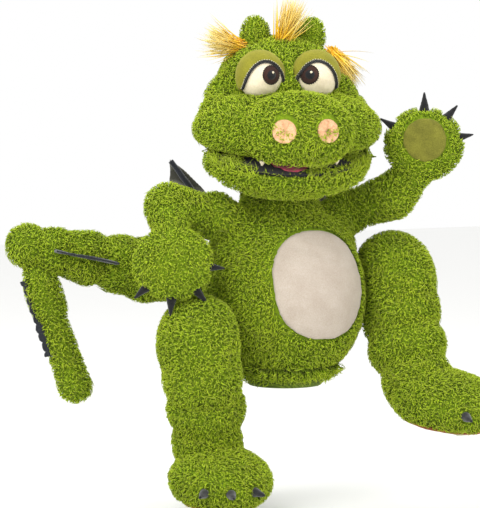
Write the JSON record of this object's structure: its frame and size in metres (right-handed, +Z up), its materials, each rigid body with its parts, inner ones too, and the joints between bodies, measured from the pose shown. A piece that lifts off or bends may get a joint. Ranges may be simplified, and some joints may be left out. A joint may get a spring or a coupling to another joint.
{
  "type": "moving mouth hand puppet",
  "caption": "Full-body plush dragon hand puppet with a hinged mouth, jointed arms, legs, tail and wings, worn on a hand from below.",
  "frame": {"origin": "centre of the hemmed hand opening in the underside of the body", "axes": "+Z up through the neck, -Y the way the belly faces, +X to the puppet's left"},
  "size_m": [0.5572, 0.4404, 0.65],
  "materials": {
    "belly_velour": "short smooth pile",
    "black_cord": "twisted cord",
    "black_felt": "pressed felt",
    "dark_felt": "felt",
    "golden_pile": "long combed pile",
    "green_plush": "medium shaggy pile",
    "hem_tape": "folded twill hem",
    "iris_felt": "felt with stitched rim",
    "lid_velour": "velour with stitched edge",
    "lining": "woven lining",
    "mouth_cloth": "brushed cloth",
    "nostril_plush": "puckered short pile",
    "palm_velour": "velour",
    "polyester_fill": "loose fibre fill",
    "sole_suede": "suede cloth",
    "tongue_velour": "ruched velour",
    "white_felt": "pressed felt",
    "wing_felt": "creased velour"
  },
  "bodies": {
    "torso": {"body_skin": "green_plush", "base_panel": "lining", "entry_cuff": "hem_tape", "hand_sleeve": "lining", "body_stuffing": "polyester_fill", "belly_patch": "belly_velour"},
    "neck": {"neck_sleeve": "green_plush"},
    "head": {"head_skin": "green_plush", "head_stuffing": "polyester_fill", "muzzle": "green_plush", "finger_pocket": "lining", "upper_mouth_plate": "mouth_cloth", "fangs": "white_felt", "irises": "iris_felt", "pupils": "black_felt", "lash_lines": "black_cord", "eye_right": "white_felt", "eye_left": "white_felt", "eyelid_right": "lid_velour", "eyelid_left": "lid_velour", "ear_right": "green_plush", "ear_left": "green_plush", "nostril_right": "nostril_plush", "nostril_left": "nostril_plush", "hair_tuft_right": "golden_pile", "hair_tuft_centre": "golden_pile", "hair_tuft_left": "golden_pile"},
    "jaw": {"jaw_skin": "green_plush", "lower_mouth_plate": "mouth_cloth", "tongue": "tongue_velour", "thumb_pocket": "lining"},
    "right_upper_arm": {"upper_arm_right": "green_plush"},
    "right_forearm": {"forearm_right": "green_plush"},
    "right_hand": {"paw_right": "green_plush", "palm_pad_right": "palm_velour", "claws_right": "black_felt"},
    "right_thigh": {"haunch_right": "green_plush"},
    "right_lower_leg": {"shin_right": "green_plush"},
    "right_foot": {"foot_right": "green_plush", "sole_right": "sole_suede", "toe_claws_right": "black_felt"},
    "right_wing": {"wing_membrane_right": "wing_felt", "wing_struts_right": "dark_felt"},
    "left_upper_arm": {"upper_arm_left": "green_plush"},
    "left_forearm": {"forearm_left": "green_plush"},
    "left_hand": {"paw_left": "green_plush", "palm_pad_left": "palm_velour", "claws_left": "black_felt"},
    "left_thigh": {"haunch_left": "green_plush"},
    "left_lower_leg": {"shin_left": "green_plush"},
    "left_foot": {"foot_left": "green_plush", "sole_left": "sole_suede", "toe_claws_left": "black_felt"},
    "left_wing": {"wing_membrane_left": "wing_felt", "wing_struts_left": "dark_felt"},
    "tail_base": {"tail_base": "green_plush"},
    "tail_middle": {"tail_mid": "green_plush", "spine_mid": "dark_felt"},
    "tail_end": {"tail_tip": "green_plush", "spine_tip": "dark_felt"}
  },
  "joints": [
    {"name": "neck_turn", "type": "hinge", "parent": "torso", "child": "neck", "pos_m": [0, 0.03, 0.241], "axis": [0, 0, 1], "range_deg": [-25, 8]},
    {"name": "head_nod", "type": "hinge", "parent": "neck", "child": "head", "pos_m": [0, 0.03, 0.3], "axis": [-0.9781, 0.2079, 0], "range_deg": [-8, 12]},
    {"name": "jaw_open", "type": "hinge", "parent": "head", "child": "jaw", "pos_m": [-0.01144, -0.0238, 0.33], "axis": [0.9781, -0.2079, 0], "range_deg": [-3, 24]},
    {"name": "right_shoulder", "type": "hinge", "parent": "torso", "child": "right_upper_arm", "pos_m": [-0.1, 0.008, 0.228], "axis": [0, 1, 0], "range_deg": [-2, 40]},
    {"name": "right_elbow", "type": "hinge", "parent": "right_upper_arm", "child": "right_forearm", "pos_m": [-0.166, 0.01, 0.243], "axis": [0.138, -0.7, 0.7007], "range_deg": [-40, 0]},
    {"name": "right_wrist", "type": "hinge", "parent": "right_forearm", "child": "right_hand", "pos_m": [-0.176, -0.022, 0.213], "axis": [0.9063, -0.4226, 0], "range_deg": [-15, 1]},
    {"name": "right_hip", "type": "hinge", "parent": "torso", "child": "right_thigh", "pos_m": [-0.107, 0, 0.1], "axis": [-1, 0, 0], "range_deg": [-30, 0]},
    {"name": "right_knee", "type": "hinge", "parent": "right_thigh", "child": "right_lower_leg", "pos_m": [-0.139, -0.048, 0.023], "axis": [-1, 0, 0], "range_deg": [-15, 25]},
    {"name": "right_ankle", "type": "hinge", "parent": "right_lower_leg", "child": "right_foot", "pos_m": [-0.129, -0.032, -0.072], "axis": [-0.9677, 0.252, 0], "range_deg": [-15, 15]},
    {"name": "right_wing_flap", "type": "hinge", "parent": "torso", "child": "right_wing", "pos_m": [-0.046, 0.076, 0.19], "axis": [0, 0, -1], "range_deg": [-12, 35]},
    {"name": "left_shoulder", "type": "hinge", "parent": "torso", "child": "left_upper_arm", "pos_m": [0.1, 0.008, 0.228], "axis": [0, -1, 0], "range_deg": [-28, 1]},
    {"name": "left_elbow", "type": "hinge", "parent": "left_upper_arm", "child": "left_forearm", "pos_m": [0.14, -0.043, 0.252], "axis": [-0.8019, -0.5923, 0.0779], "range_deg": [-30, 1]},
    {"name": "left_wrist", "type": "hinge", "parent": "left_forearm", "child": "left_hand", "pos_m": [0.16, -0.066, 0.283], "axis": [0.9063, -0.4226, 0], "range_deg": [-18, 8]},
    {"name": "left_hip", "type": "hinge", "parent": "torso", "child": "left_thigh", "pos_m": [0.107, 0, 0.1], "axis": [-1, 0, 0], "range_deg": [-35, 20]},
    {"name": "left_knee", "type": "hinge", "parent": "left_thigh", "child": "left_lower_leg", "pos_m": [0.142, -0.055, 0.098], "axis": [-1, 0, 0], "range_deg": [-25, 25]},
    {"name": "left_ankle", "type": "hinge", "parent": "left_lower_leg", "child": "left_foot", "pos_m": [0.145, -0.104, 0.004], "axis": [-0.9517, -0.307, 0], "range_deg": [-10, 8]},
    {"name": "left_wing_flap", "type": "hinge", "parent": "torso", "child": "left_wing", "pos_m": [0.046, 0.076, 0.19], "axis": [0, 0, 1], "range_deg": [-12, 35]},
    {"name": "tail_swing", "type": "hinge", "parent": "torso", "child": "tail_base", "pos_m": [0, 0.113, 0.105], "axis": [0, 0, 1], "range_deg": [-16, 2]},
    {"name": "tail_bend", "type": "hinge", "parent": "tail_base", "child": "tail_middle", "pos_m": [-0.144, 0.133, 0.149], "axis": [0, 0, 1], "range_deg": [-30, 25]},
    {"name": "tail_curl", "type": "hinge", "parent": "tail_middle", "child": "tail_end", "pos_m": [-0.3, 0.174, 0.184], "axis": [-0.2121, -0.9606, 0.1797], "range_deg": [-50, 5]}
  ]
}
